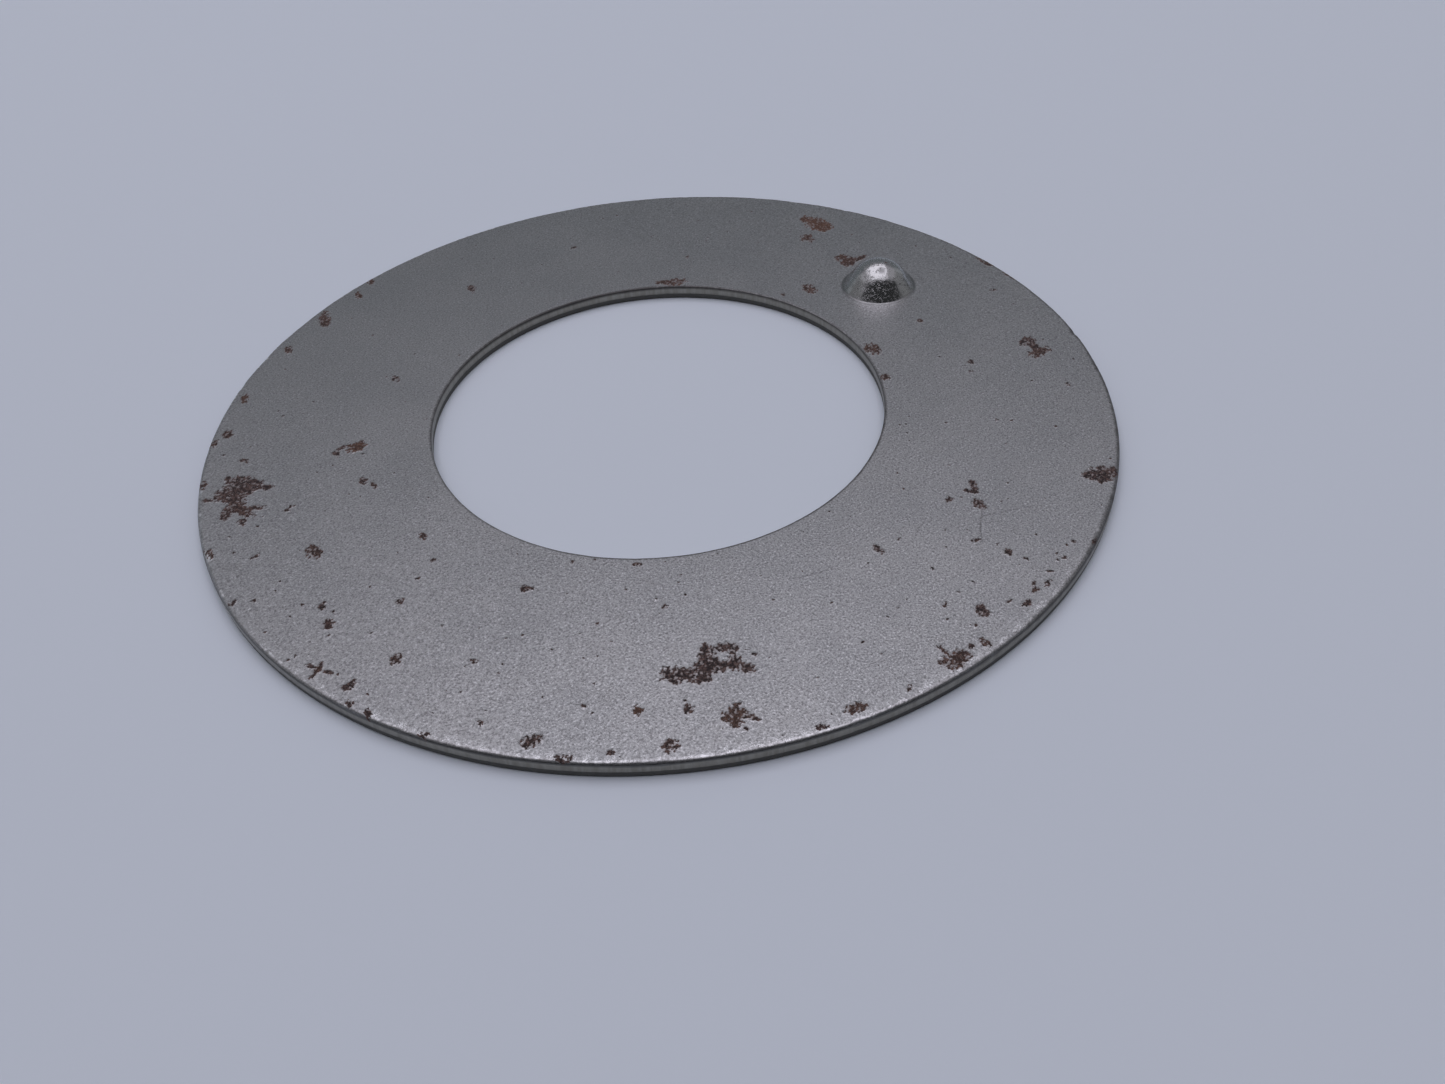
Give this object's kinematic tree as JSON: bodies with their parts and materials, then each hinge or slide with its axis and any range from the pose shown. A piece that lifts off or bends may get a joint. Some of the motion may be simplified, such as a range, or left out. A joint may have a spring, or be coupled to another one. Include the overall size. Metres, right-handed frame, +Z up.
{
  "type": "flat washer",
  "caption": "Large thin flat washer of plain sheet steel, a thrust washer with a centre hole and a domed locating dimple pressed up from its face.",
  "frame": {"origin": "centre of the hole at the underside, the plane the washer rests on", "axes": "+Z up along the hole's axis, out of the face that the dimple stands on; +X from the hole's centre to the dimple"},
  "size_m": [0.09, 0.09, 0.0046],
  "materials": {
    "sheet_steel": "matt tumbled cold-rolled steel, uncoated, with scattered spots of brown rust"
  },
  "bodies": {
    "root": {"flat_washer": "sheet_steel"}
  },
  "joints": []
}
